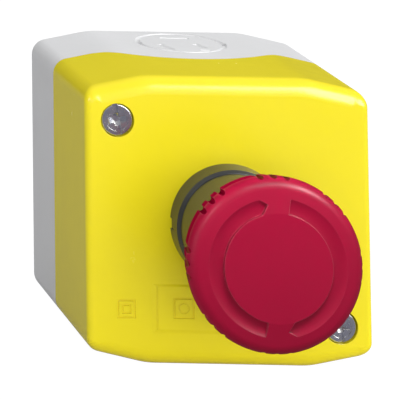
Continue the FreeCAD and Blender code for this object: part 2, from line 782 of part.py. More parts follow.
def front_cover():
    boss_extra = 1.25           # cover boss radius beyond the rear boss
    boss_over_seat = 0.5
    boss_gap = 0.2              # between the cover's and the rear housing's bosses
    screw_clear = 0.25
    key_bottom = 9
    groove_gap = 0.05           # on each side of the gasket
    groove_extra = 0.1          # groove depth beyond the gasket
    y0 = front - OVER

    half_shell = cut("cover_shell", cut("cover_block", shell, rear_side), cavity)
    bosses = [cyl(f"cover_boss{k}", dim.boss_radius + boss_extra,
                  -dim.screw_seat - boss_over_seat, -dim.boss_top - boss_gap, x, z)
              for k, (x, z) in enumerate(SCREWS)]
    full = fuse("cover_full", half_shell, *label_pad(), *bosses)

    tools = [cyl("panel_hole", dim.panel_hole_radius, y0, lid_inside + OVER, 0, 0),
             box("panel_key", *about(0, dim.key_width / 2), y0, lid_inside + OVER,
                 key_bottom, dim.key_top)]
    for k, (x, z) in enumerate(SCREWS):
        tools += [cyl(f"cover_sink{k}", dim.sink_radius, y0, -dim.screw_seat, x, z),
                  cyl(f"cover_hole{k}", dim.screw_shank_radius + screw_clear,
                      -dim.screw_seat - OVER, -dim.boss_top + OVER, x, z)]
    tools += engravings()
    tools.append(band("groove", dim.gasket_outset - groove_gap,
                      dim.gasket_width + groove_gap * 2, dim.gasket_thick + groove_extra))
    return cut("front_cover", full, *tools)


def cover_gasket():
    loop = band("gasket", dim.gasket_outset, dim.gasket_width, dim.gasket_thick)
    return cut("cover_gasket", loop, rear_side)


# ------------------------------------------------------------- cover screws
def cover_screw(k, x, z, degrees):
    """One screw, made on the axis and moved to its place."""
    name = f"screw{k}"
    tip_radius, tip_length, dome = 1.2, 1.2, 0.5
    slot_half, slot_depth = 0.65, 0.8
    dish_radius, dish_depth = 2.65, 0.25
    cross_reach, cross_depth, across_half, along_half = 3, 1.5, 0.75, 0.68
    face, under = -dim.screw_head_front, -dim.screw_head_back
    head, shank, end = dim.screw_head_radius, dim.screw_shank_radius, -dim.screw_shank_end

    # the rounding's name differs from the one turned() would give
    blank = new_body(name)
    sketch = new_sketch(blank, name + "_profile", "XY_Plane")
    polygon(sketch, [(0, face), (head, face), (head, under), (shank, under), (shank, end),
                     (tip_radius, end + tip_length), (0, end + tip_length)])
    spin(blank, sketch, name + "_turn")
    rounded(blank, ring_edges(blank.Tip.Shape, head, face), dome, name + "_dome")

    y0 = face - OVER
    slot = box(name + "_slot", *about(0, 5), y0, face + slot_depth, *about(0, slot_half))
    dish = cyl(name + "_dish", dish_radius, y0, face + dish_depth, 0, 0)
    # the cross recess tapers inwards, so the floors of its arms slope
    across = box(name + "_across", *about(0, across_half), y0, face + cross_depth,
                 *about(0, cross_reach))
    along = box(name + "_along", *about(0, cross_reach), y0, face + cross_depth,
                *about(0, along_half))
    cone = doc.addObject("Part::Cone", name + "_cone")
    drive(cone, Radius1=3.12, Radius2=0.7, Height=1.85)
    place(cone, 0, face - 0.4, 0, ALONG_Y)
    recess = common(name + "_recess", fuse(name + "_cross", across, along), cone)
    screw = cut(name + "_piece", blank, slot, dish, recess)
    place(screw, x, 0, z, Rotation(Vector(0, 1, 0), degrees))
    return screw


def cover_screws():
    turns = (81.0, 86.0)        # degrees round Y
    return group("cover_screws", [cover_screw(k, x, z, turns[k])
                                  for k, (x, z) in enumerate(SCREWS)])


def cover_screw_seals():
    seals = []
    for k, (x, z) in enumerate(SCREWS):
        seal = ring(f"screw_seal{k}", dim.screw_shank_radius + 0.1, 3.6,
                    -dim.screw_head_back + 0.02, -dim.screw_seat)
        place(seal, x, 0, z)
        seals.append(seal)
    return group("cover_screw_seals", seals)


# ----------------------------------------- operator body, its seals, nut, clip
def operator_turned():
    """The operator's turned blank, with ridges round the barrel."""
    seal_gap = 0.05
    step = 0.4                  # small groove where the neck leaves the bezel
    seal_in = dim.panel_seal_inner - seal_gap
    seal_out = dim.panel_seal_outer + seal_gap
    seal_floor = front - dim.panel_seal_thick - seal_gap
    bezel, bezel_y = dim.bezel_front_radius, ahead(dim.bezel_height)
    neck, neck_y = dim.neck_radius, ahead(dim.neck_start)
    step_y, tip_y = ahead(dim.neck_start + step), ahead(dim.neck_tip)
    shoulder_y = ahead(dim.shoulder)
    blank = turned("operator_turned", [
        (dim.barrel_bore, -dim.barrel_end), (dim.barrel_radius, -dim.barrel_end),
        (dim.barrel_radius, front), (seal_in, front), (seal_in, seal_floor),
        (seal_out, seal_floor), (seal_out, front), (dim.bezel_radius, front),
        (bezel, bezel_y), (neck + 0.05, neck_y), (neck - step, neck_y), (neck - step, step_y),
        (neck, step_y), (dim.neck_tip_radius, tip_y), (dim.neck_bore, tip_y),
        (dim.neck_bore, shoulder_y), (dim.barrel_bore, shoulder_y)],
        [(bezel, bezel_y, 0.4), (dim.neck_tip_radius, tip_y, 0.6)])

    thread_y, rows = -43.2, 4
    pitch = dim.thread_pitch
    outside = dim.barrel_radius + 0.3
    sketch = new_sketch(blank, "thread_profile", "XY_Plane")
    polygon(sketch, [(outside, thread_y - 0.1 * pitch), (outside, thread_y - 0.9 * pitch),
                     (dim.barrel_radius - dim.thread_depth, thread_y - 0.5 * pitch)])
    groove = spin(blank, sketch, "thread_groove", "Groove")
    row = blank.newObject("PartDesign::LinearPattern", "thread_row")
    row.Originals = [groove]
    row.Direction = (origin_part(blank, "Y_Axis"), [""])
    drive(row, Length=pitch * (rows - 1))
    row.Occurrences = rows
    row.Reversed = True
    blank.Tip = row
    doc.recompute()
    return blank


def operator_body():
    key_gap = 0.1
    notch_depth, notch_half = 0.4, 1.25
    slot_x, slot_y, slot_reach = 0.12, 0.06, 13
    key = box("operator_key", *about(0, dim.key_width / 2 - key_gap), front + 0.02, front + 2.6,
              10, dim.key_top - key_gap)
    notch = box("bezel_notch", -dim.bezel_radius - OVER, -dim.bezel_radius + notch_depth,
                front - 2.4, front + 0.2, *about(0, notch_half))
    slots = [box(f"clip_slot{k}", *about(dim.clip_leg * sign, dim.clip_wire + slot_x),
                 *about(-dim.clip_plane, dim.clip_wire + slot_y), *about(0, slot_reach))
             for k, sign in SIDES]
    keyed = fuse("operator_keyed", operator_turned(), key)
    return cut("operator_body", keyed, notch, *slots)


def panel_seal():
    return ring("panel_seal", dim.panel_seal_inner, dim.panel_seal_outer,
                front - dim.panel_seal_thick, front)


def fixing_nut():
    """A round nut with a smaller collar in front and eight slots in its rim."""
    collar_step, collar_length = 1.2, 1.4
    slot_half, slot_depth, slots = 1.3, 1.9, 8
    bore, rim = dim.barrel_radius + 0.02, dim.nut_radius
    collar, collar_y = rim - collar_step, lid_inside + collar_length
    rear = lid_inside + dim.nut_length
    nut = turned("fixing_nut", [(bore, lid_inside), (collar, lid_inside), (collar, collar_y),
                                (rim, collar_y), (rim, rear), (bore, rear)])
    sketch = new_sketch(nut, "nut_slot", "XZ_Plane", -rear)
    polygon(sketch, [(-slot_half, rim - slot_depth), (slot_half, rim - slot_depth),
                     (slot_half, rim + OVER), (-slot_half, rim + OVER)])
    slot = nut.newObject("PartDesign::Pocket", "nut_slot_cut")
    slot.Profile = sketch
    drive(slot, Length=dim.nut_length - collar_length)
    slot.Reversed = True        # forwards, from the rear face into the nut
    nut.Tip = slot
    doc.recompute()
    pattern = nut.newObject("PartDesign::PolarPattern", "nut_slots")
    pattern.Originals = [slot]
    pattern.Axis = (origin_part(nut, "Y_Axis"), [""])
    pattern.Angle = 360.0
    pattern.Occurrences = slots
    nut.Tip = pattern
    doc.recompute()
    return nut


def latch_clip():
    """Wire clip that straddles the pusher's tail and snaps into its detent grooves."""
    leg, top, bend = dim.clip_leg, dim.clip_top, dim.clip_bend
    points = [(-leg, -dim.clip_low), (-leg, top - bend), (-leg + bend, top),
              (leg - bend, top), (leg, top - bend), (leg, -dim.clip_low)]
    clip = new_body("latch_clip")
    path = new_sketch(clip, "clip_path", "XZ_Plane", dim.clip_plane)
    profile = Profile(path)
    ids = [profile.line(points[0], points[1]),
           profile.arc((points[2][0], points[1][1]), bend, points[2], points[1]),
           profile.line(points[2], points[3]),
           profile.arc((points[3][0], points[4][1]), bend, points[4], points[3]),
           profile.line(points[4], points[5])]
    for a, a_end, b, b_end in ((0, END, 1, END), (1, START, 2, START),
                               (2, END, 3, END), (3, START, 4, START)):
        profile.join(ids[a], a_end, ids[b], b_end)
    for i, point in enumerate(points):
        profile.pin(ids[i // 2 * 2], (START, END)[i % 2], point)
    for k in (1, 3):
        profile.radius(ids[k], bend)
    profile.apply()

    section = new_sketch(clip, "clip_wire_profile", "XY_Plane", -dim.clip_low)
    profile = Profile(section)
    centre = (-leg, -dim.clip_plane)
    wire = profile.circle(centre, dim.clip_wire)
    profile.pin(wire, CENTRE, centre)
    profile.radius(wire, dim.clip_wire)
    profile.apply()
    pipe = clip.newObject("PartDesign::AdditivePipe", "clip_pipe")
    pipe.Profile = section
    pipe.Spine = (path, [f"Edge{k}" for k in range(1, 6)])
    clip.Tip = pipe
    doc.recompute()
    return clip


def stem_seal():
    return ring("stem_seal", dim.hub_radius + dim.play, dim.neck_bore - 0.02,
                ahead(dim.neck_tip - 0.2), ahead(dim.neck_tip - 1.5))


def reset_spring():
    return coil("reset_spring", dim.reset_spring_radius, dim.reset_spring_wire,
                -dim.flange_back, ahead(dim.shoulder), turns=4.5)


# --------------------------------------------------------- pusher, moves in Y
def pusher_sleeve():
    groove_half, lip = 0.5, 0.2     # detent groove floor, and slope of its sides
    tail, tail_end = dim.tail_radius, -dim.tail_end
    detents = []
    for y in (-dim.clip_plane - dim.travel, -dim.clip_plane):
        detents += [(tail, y - groove_half - lip), (dim.detent_radius, y - groove_half),
                    (dim.detent_radius, y + groove_half), (tail, y + groove_half + lip)]
    return turned("pusher_sleeve", [
        (dim.pusher_bore, -dim.sleeve_front), (dim.flange_radius, -dim.sleeve_front),
        (dim.flange_radius, -dim.flange_back), (dim.sleeve_radius, -dim.flange_back),
        (dim.sleeve_radius, -dim.tail_front), (tail, -dim.tail_front), *detents,
        (tail, tail_end), (dim.pusher_chamber, tail_end),
        (dim.pusher_chamber, -dim.pusher_step), (dim.pusher_bore, -dim.pusher_step)])


def push_pad():
    """The pad that closes the pusher's rear end, with a stepped plug in its chamber."""
    nose_radius, nose_length, plug_length = 4.6, 2, 1.7
    back, seat = -dim.push_pad_back, -dim.tail_end + 0.05
    nose_y, plug_y = back - nose_length, -dim.tail_end - plug_length
    plug_radius = dim.pusher_chamber - dim.play
    return turned("push_pad", [
        (0, nose_y), (nose_radius, nose_y), (nose_radius, plug_y), (plug_radius, plug_y),
        (plug_radius, seat), (dim.push_pad_radius, seat), (dim.push_pad_radius, back), (0, back)],
        [(dim.push_pad_radius, back, 0.8)])


def thrust_washer():
    return ring("thrust_washer", dim.spindle_radius + 0.1, 7.6,
                -dim.sleeve_front - 0.65, -dim.sleeve_front)


def twist_spring():
    return coil("twist_spring", dim.twist_spring_radius, dim.twist_spring_wire,
                -50.9, -43.6, turns=5.5)


# --------------------------------------- mushroom head and spindle, turn as one
def spindle():
    tail_groove, hub_groove = 3.0, 4.2      # radii of the two ring grooves
    stem, bore_fit = dim.spindle_radius, dim.spindle_radius - 0.02
    collar = dim.hub_radius - 0.05
    step, sleeve, hub, tip = (-dim.pusher_step, -dim.sleeve_front, -dim.hub_end,
                              -dim.hub_deep + 0.1)
    return turned("spindle", [
        (0, -dim.spindle_end), (dim.spindle_tail_radius, -dim.spindle_end),
        (dim.spindle_tail_radius, step + 0.8), (tail_groove, step + 0.8),
        (tail_groove, step + 0.1), (stem, step + 0.1),
        (stem, sleeve - 0.7), (collar, sleeve - 0.7), (collar, sleeve - 1.7),
        (bore_fit, sleeve - 1.7), (bore_fit, hub + 0.9), (hub_groove, hub + 0.9),
        (hub_groove, hub), (bore_fit, hub), (bore_fit, tip), (0, tip)])


def spindle_circlip():
    return snap_ring("spindle_circlip", 3.02, 5.7, -dim.pusher_step + 0.15,
                     -dim.pusher_step + 0.75, half_gap=1.2)


def cap_retaining_clip():
    return snap_ring("cap_retaining_clip", 4.22, 7.0, -dim.hub_end + 0.05,
                     -dim.hub_end + 0.85, half_gap=1.5)


def clock_point(radius, degrees):
    """A sketch point at a radius, with its angle clockwise from the top."""
    angle = math.radians(degrees)
    return (size(radius).value * math.sin(angle), size(radius).value * math.cos(angle))


def arrow(sketch, turn):
    """One curved arrow between the disc and the rim, pointing clockwise."""
    tail, wing_in, wing_out, tip_angle = [turn + a for a in (-168.6, -16.2, -17.2, -8.7)]
    disc, rim = dim.cap_disc_radius, dim.arrow_outer + 0.6
    tip = clock_point((disc + dim.arrow_outer) / 2 + 0.35, tip_angle)
    inner_wing, outer_wing = clock_point(disc, wing_in), clock_point(rim, wing_out)
    inner_tail, outer_tail = clock_point(disc, tail), clock_point(rim, tail)
    profile = Profile(sketch)
    inner = profile.arc((0, 0), disc, inner_wing, inner_tail)
    outer = profile.arc((0, 0), rim, outer_wing, outer_tail)
    to_tip = profile.line(inner_wing, tip)
    from_tip = profile.line(tip, outer_wing)
    end = profile.line(inner_tail, outer_tail)
    profile.join(inner, START, to_tip, START)
    profile.join(to_tip, END, from_tip, START)
    profile.join(from_tip, END, outer, START)
    profile.join(inner, END, end, START)
    profile.join(end, END, outer, END)
    for geometry, radius in ((inner, disc), (outer, rim)):
        profile.join(geometry, CENTRE, -1, 1)
        profile.radius(geometry, radius)
    profile.apply()


def arrow_recess():
    """Two arrow recesses half a turn apart.

    Each is hollow in section: a steep wall at the disc, running out gently
    towards the rim.
    """
    arrows = new_body("arrow_block")
    sketch = new_sketch(arrows, "arrow_profile", "XZ_Plane", -ahead(dim.cap_front + 0.5))
    arrow(sketch, 0.0)
    arrow(sketch, 180.0)
    pad(arrows, sketch, 4, "arrow_pad", reverse=True)
    hollow = torus("arrow_hollow", dim.arrow_deepest, dim.arrow_hollow,
                   0, ahead(dim.arrow_centre), 0, ALONG_Y)
    return common("arrow_recess", arrows, hollow)


def grip_notches():
    """Eight groups of three round notches that follow the tapered side."""
    groups, per_group, step = 8, 3, 8.7     # step is degrees between notches
    taper = ((dim.cap_corner_radius - dim.cap_rear_radius)
             / (dim.cap_edge_front - dim.cap_rear))
    lean = Rotation(Vector(1, 0, 0), 90 - math.degrees(math.atan(taper.value)))
    start = Vector(0, ahead(dim.cap_rear - 0.3).value, dim.notch_centre.value)
    notches = []
    for k in range(groups * per_group):
        angle = 360.0 / groups * (k // per_group) + step * (k % per_group - 1)
        turn = Rotation(Vector(0, 1, 0), angle)
        notch = doc.addObject("Part::Cylinder", f"notch{k}")
        drive(notch, Radius=dim.notch_radius, Height=dim.notch_length)
        notch.Placement = Placement(turn.multVec(start), turn.multiply(lean))
        notches.append(notch)
    return notches


def mushroom_cap():
    front_y, edge_y, rear_y = [ahead(a) for a in (dim.cap_front, dim.cap_edge_front, dim.cap_rear)]
    skirt = dim.cap_skirt_inner
    blank = turned("mushroom_cap_blank", [
        (0, front_y), (dim.cap_disc_radius, front_y), (dim.cap_corner_radius, edge_y),
        (dim.cap_rear_radius, rear_y), (skirt, ahead(dim.cap_rear + 0.2)),
        (skirt - 0.4, ahead(dim.cap_roof - 0.3)), (dim.hub_radius, ahead(dim.cap_roof)),
        (dim.hub_radius, -dim.hub_end), (dim.hub_bore, -dim.hub_end),
        (dim.hub_bore, -dim.hub_deep), (0, -dim.hub_deep)],
        [(dim.cap_corner_radius, edge_y, dim.cap_round), (dim.cap_rear_radius, rear_y, 0.6)])
    return cut("mushroom_cap", blank, arrow_recess(), *grip_notches())


# ------------------------------------------------------------ contact blocks
# The normally closed block is left of the axis, the normally open one right.
BLOCKS = (("nc", -dim.block_x), ("no", dim.block_x))
block_face = -dim.block_front
ledge = -dim.terminal_ledge
chamber_floor = -dim.block_back - dim.block_wall - 0.1
chamber = dim.chamber_half
spring_seat = -14.0             # front end of the contact spring
riser_in, riser_out = chamber - 0.9, chamber - 0.1     # riser of a fixed strip, in Z


def contact_spans(kind):
    """Y spans of the fixed tongue, its rivets, the bridge and the bridge's rivets."""
    strip, rivet = dim.strip_thick, dim.rivet_thick
    if kind == "nc":
        face = -dim.nc_tip_plane
        bridge = face + rivet * 2
        return ((face - strip, face), (face, face + rivet),
                (bridge, bridge + strip), (bridge - rivet, bridge))
    face = -dim.no_tip_plane
    bridge = face - rivet * 2 - dim.travel - 0.1
    return ((face, face + strip), (face - rivet, face),
            (bridge - strip, bridge), (bridge, bridge + rivet))


def block_housing(kind, x):
    pocket_wall, pocket_front = 1.6, -26.4
    access_radius, access_end = 3.2, -26
    well_radius, well_end = 2.0, -14.5
    strip_gap = 0.1
    half = dim.block_half_width
    top = dim.block_half_height
    case = box(kind + "_case", *about(x, half), block_face, -dim.block_back, *about(0, top))
    tools = [box(kind + "_chamber", *about(x, half - dim.block_wall), block_face - OVER,
                 chamber_floor, *about(0, chamber))]
    for k, sign in SIDES:
        z = dim.terminal_z * sign
        tools += [
            box(f"{kind}_terminal{k}", *about(x, half - pocket_wall), pocket_front, ledge,
                *span(chamber + 1.2, top + OVER, sign)),
            cyl(f"{kind}_access{k}", access_radius, block_face - OVER, access_end, x, z),
            cyl(f"{kind}_screw_well{k}", well_radius, ledge - OVER, well_end, x, z),
            box(f"{kind}_slot{k}", *about(x, dim.strip_half_width + strip_gap),
                ledge - dim.strip_thick - strip_gap, ledge,
                *span(chamber - 1, chamber + 1.4, sign))]
    return cut(kind + "_block_housing", case, *tools)


def block_cover(kind, x):
    """The small lid over the chamber, with a window for the plunger."""
    lid_gap, window_gap = 0.05, 0.06
    lid = box(kind + "_lid", *about(x, dim.block_half_width - dim.block_wall - lid_gap),
              block_face, block_face + dim.block_wall, *about(0, chamber - lid_gap))
    window = box(kind + "_lid_hole", *about(x, dim.plunger_half_x + window_gap),
                 block_face - OVER, block_face + 3, *about(0, dim.plunger_half_z + window_gap))
    return cut(kind + "_block_cover", lid, window)


def fixed_strip(kind, x, k, sign):
    """Terminal pad, riser and contact tongue."""
    pad_end, tongue_end, hole_radius = 17.0, 5.6, 1.9
    tongue_back, tongue_front = contact_spans(kind)[0][1], contact_spans(kind)[0][0]
    strip_x = about(x, dim.strip_half_width)
    strip_face = ledge - dim.strip_thick
    terminal_pad = box(f"{kind}_strip{k}", *strip_x, strip_face, ledge,
                       *span(riser_in, pad_end, sign))
    riser = box(f"{kind}_riser{k}", *strip_x, strip_face, tongue_back,
                *span(riser_in, riser_out, sign))
    tongue = box(f"{kind}_tongue{k}", *strip_x, tongue_front, tongue_back,
                 *span(tongue_end, riser_out, sign))
    hole = cyl(f"{kind}_strip_hole{k}", hole_radius, ledge - 2, ledge + OVER,
               x, dim.terminal_z * sign)
    return cut(f"{kind}_fixed{k}",
               fuse(f"{kind}_fixed_full{k}", terminal_pad, riser, tongue), hole)


def fixed_contacts(kind, x):
    return group(kind + "_fixed_contacts", [fixed_strip(kind, x, k, sign) for k, sign in SIDES])


def fixed_rivets(kind, x):
    rivet_span = contact_spans(kind)[1]
    return group(kind + "_fixed_rivets", [
        cyl(f"{kind}_rivet{k}", dim.rivet_radius, *rivet_span, x, dim.rivet_z * sign)
        for k, sign in SIDES])


def plunger(kind, x):
    """Stem and contact carrier, with a gate for the bridge and a spring well."""
    gate_half_x, gate_half_z, gate_gap = 2.35, 4, 0.03
    well_radius = 1.95
    bridge_front, bridge_back = contact_spans(kind)[2]
    carrier_front = block_face + dim.block_wall
    stem = box(kind + "_stem", *about(x, dim.plunger_half_x), -dim.plunger_tip,
               carrier_front + 1, *about(0, dim.plunger_half_z))
    carrier = box(kind + "_carrier", *about(x, dim.carrier_half_x), carrier_front + 0.05,
                  -dim.carrier_back, *about(0, dim.carrier_half_z))
    gate = box(kind + "_gate", *about(x, gate_half_x), bridge_front - gate_gap,
               bridge_back + gate_gap, *about(0, gate_half_z))
    well = cyl(kind + "_well", well_radius, spring_seat, -dim.carrier_back + OVER, x, 0)
    return cut(kind + "_plunger", fuse(kind + "_plunger_full", stem, carrier), gate, well)


def bridge_contact(kind, x):
    return box(kind + "_bridge_contact", *about(x, 2.3), *contact_spans(kind)[2], *about(0, 8.4))


def bridge_rivets(kind, x):
    rivet_span = contact_spans(kind)[3]
    return group(kind + "_bridge_rivets", [
        cyl(f"{kind}_bridge_rivet{k}", dim.rivet_radius, *rivet_span, x, dim.rivet_z * sign)
        for k, sign in SIDES])


def plunger_spring(kind, x):
    return coil(kind + "_plunger_spring", dim.contact_spring_radius, dim.contact_spring_wire,
                spring_seat, chamber_floor, turns=8, x=x)


def terminal_screw(kind, x, k, sign):
    """A screw with two crossed nicks, one wide and one deep."""
    head_radius, head_front, head_back = 2.9, -26.2, -24.2
    shank_radius, shank_end = 1.7, -15.0
    nick_half, nick_front = 0.5, -27
    z = dim.terminal_z * sign
    stud = fuse(f"{kind}_stud{k}",
                cyl(f"{kind}_head{k}", head_radius, head_front, head_back, x, z),
                cyl(f"{kind}_shank{k}", shank_radius, head_back - 0.1, shank_end, x, z))
    wide = box(f"{kind}_nick{k}", *about(x, 3.2), nick_front, -25.3, *about(z, nick_half))
    deep = box(f"{kind}_nick_b{k}", *about(x, nick_half), nick_front, -25.0, *about(z, 1.7))
    return cut(f"{kind}_terminal_screw{k}", stud, wide, deep)


def terminal_clamp(kind, x, k, sign):
    """A clamp plate with a fold along its inner edge."""
    half, inner, outer, fold_thick = 3.4, 10.9, 16.7, 0.8
    plate = box(f"{kind}_plate{k}", *about(x, half), -24.15, -23.35, *span(inner, outer, sign))
    fold = box(f"{kind}_fold{k}", *about(x, half), -23.4, -22.4,
               *span(inner, inner + fold_thick, sign))
    hole = cyl(f"{kind}_clamp_hole{k}", 1.85, -25, -22, x, dim.terminal_z * sign)
    return cut(f"{kind}_clamp{k}", fuse(f"{kind}_clamp_full{k}", plate, fold), hole)


def at_terminals(name, make):
    """A group of one small part at each of the four terminals."""
    return group(name, [make(kind, x, k, sign) for kind, x in BLOCKS for k, sign in SIDES])


# ------------------------------------------------- build, check and write out
pieces = [make() for make in (
    rear_housing, front_cover, cover_gasket, cover_screws, cover_screw_seals,
    operator_body, panel_seal, fixing_nut, latch_clip, stem_seal, reset_spring,
    pusher_sleeve, push_pad, thrust_washer, twist_spring,
    spindle, spindle_circlip, cap_retaining_clip, mushroom_cap)]
pieces += [make(kind, x) for kind, x in BLOCKS for make in (
    block_housing, block_cover, fixed_contacts, fixed_rivets,
    plunger, bridge_contact, bridge_rivets, plunger_spring)]
pieces += [at_terminals("terminal_screws", terminal_screw),
           at_terminals("terminal_clamps", terminal_clamp)]

doc.recompute()
for obj in doc.Objects:
    if "Invalid" in obj.State or "Error" in obj.State:
        raise RuntimeError(f"{obj.Name} did not recompute: {obj.State} {obj.getStatusString()}")
for piece in pieces:
    shape = piece.Shape
    if shape.isNull() or not shape.isValid() or not shape.Solids:
        raise RuntimeError(f"{piece.Label} is not a valid solid")
for piece in pieces:
    piece.Shape.exportStep(f"parts/{piece.Label}.step")
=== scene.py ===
import json
import math

import bmesh
import bpy
from mathutils import Matrix, Vector


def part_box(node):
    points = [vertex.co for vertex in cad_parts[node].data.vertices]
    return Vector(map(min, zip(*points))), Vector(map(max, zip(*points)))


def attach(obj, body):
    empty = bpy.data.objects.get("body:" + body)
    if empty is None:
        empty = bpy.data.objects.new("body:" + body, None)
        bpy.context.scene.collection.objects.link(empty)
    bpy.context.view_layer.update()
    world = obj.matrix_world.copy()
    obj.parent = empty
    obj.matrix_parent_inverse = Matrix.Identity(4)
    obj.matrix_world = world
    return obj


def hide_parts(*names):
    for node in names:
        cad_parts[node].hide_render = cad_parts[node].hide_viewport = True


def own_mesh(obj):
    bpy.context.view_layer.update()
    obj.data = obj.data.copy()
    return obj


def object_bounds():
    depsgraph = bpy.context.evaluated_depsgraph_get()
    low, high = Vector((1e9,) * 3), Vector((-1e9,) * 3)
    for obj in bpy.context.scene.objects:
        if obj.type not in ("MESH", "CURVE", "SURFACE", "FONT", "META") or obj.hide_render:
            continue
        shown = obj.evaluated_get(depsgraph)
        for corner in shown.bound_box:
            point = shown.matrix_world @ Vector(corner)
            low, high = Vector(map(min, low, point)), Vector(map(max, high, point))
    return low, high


MM = 0.001
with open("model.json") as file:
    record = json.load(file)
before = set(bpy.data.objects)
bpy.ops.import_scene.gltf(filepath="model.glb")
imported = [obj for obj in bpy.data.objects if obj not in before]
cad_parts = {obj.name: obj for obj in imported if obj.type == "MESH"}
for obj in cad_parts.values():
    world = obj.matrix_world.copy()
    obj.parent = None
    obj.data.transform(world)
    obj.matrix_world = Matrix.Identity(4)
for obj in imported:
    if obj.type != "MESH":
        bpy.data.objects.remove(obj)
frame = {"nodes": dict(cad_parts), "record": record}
nodes = frame["nodes"]
lo0, hi0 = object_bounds()
sc = bpy.context.scene


# ---------------------------------------------------------------- node helpers
class Tree:
    """A material's node tree with short calls for the nodes used here."""

    def __init__(self, name):
        self.m = bpy.data.materials.new(name)
        self.m.use_nodes = True
        self.t = self.m.node_tree
        self.t.nodes.clear()
        self.out = self.t.nodes.new("ShaderNodeOutputMaterial")
        self.bsdf = self.t.nodes.new("ShaderNodeBsdfPrincipled")
        self.t.links.new(self.bsdf.outputs[0], self.out.inputs["Surface"])
        self.co = self.t.nodes.new("ShaderNodeTexCoord").outputs["Object"]

    def node(self, kind, **props):
        n = self.t.nodes.new(kind)
        for k, v in props.items():
            setattr(n, k, v)
        return n

    def set(self, socket, value):
        if isinstance(value, bpy.types.NodeSocket):
            self.t.links.new(value, socket)
        else:
            socket.default_value = value

    def noise(self, scale, detail=3.0, rough=0.5, stretch=None, lacunarity=2.0, distortion=0.0):
        co = self.co
        if stretch:
            m = self.node("ShaderNodeMapping")
            m.inputs["Scale"].default_value = stretch
            self.t.links.new(self.co, m.inputs["Vector"])
            co = m.outputs[0]
        n = self.node("ShaderNodeTexNoise")
        self.t.links.new(co, n.inputs["Vector"])
        n.inputs["Scale"].default_value = scale
        n.inputs["Detail"].default_value = detail
        n.inputs["Roughness"].default_value = rough
        n.inputs["Lacunarity"].default_value = lacunarity
        n.inputs["Distortion"].default_value = distortion
        return n.outputs["Fac"]

    def math(self, op, a, b=0.0, c=0.0, clamp=False):
        n = self.node("ShaderNodeMath", operation=op, use_clamp=clamp)
        self.set(n.inputs[0], a)
        self.set(n.inputs[1], b)
        self.set(n.inputs[2], c)
        return n.outputs[0]

    def ramp(self, fac, lo, hi, a=0.0, b=1.0):
        n = self.node("ShaderNodeMapRange")
        self.set(n.inputs["Value"], fac)
        n.inputs["From Min"].default_value = lo
        n.inputs["From Max"].default_value = hi
        n.inputs["To Min"].default_value = a
        n.inputs["To Max"].default_value = b
        return n.outputs["Result"]

    def mix(self, fac, a, b, kind="MIX"):
        n = self.node("ShaderNodeMix", data_type="RGBA", blend_type=kind)
        n.clamp_result = True
        self.set(n.inputs["Factor"], fac)
        self.set(n.inputs["A"], a)
        self.set(n.inputs["B"], b)
        return n.outputs["Result"]

    def bump(self, height, strength, distance, normal=None):
        n = self.node("ShaderNodeBump")
        n.inputs["Strength"].default_value = strength
        n.inputs["Distance"].default_value = distance
        self.t.links.new(height, n.inputs["Height"])
        if normal is not None:
            self.t.links.new(normal, n.inputs["Normal"])
        return n.outputs[0]

    def soft(self, radius):
        """Normals rounded over edges by radius, and a mask that is 1 on those edges."""
        n = self.node("ShaderNodeBevel", samples=6)
        n.inputs["Radius"].default_value = radius
        g = self.node("ShaderNodeNewGeometry")
        d = self.node("ShaderNodeVectorMath", operation="DOT_PRODUCT")
        self.t.links.new(n.outputs[0], d.inputs[0])
        self.t.links.new(g.outputs["Normal"], d.inputs[1])
        edge = self.ramp(d.outputs["Value"], 0.985, 0.80)
        return n.outputs[0], edge


def rgba(c, k=1.0):
    return (c[0] * k, c[1] * k, c[2] * k, 1.0)


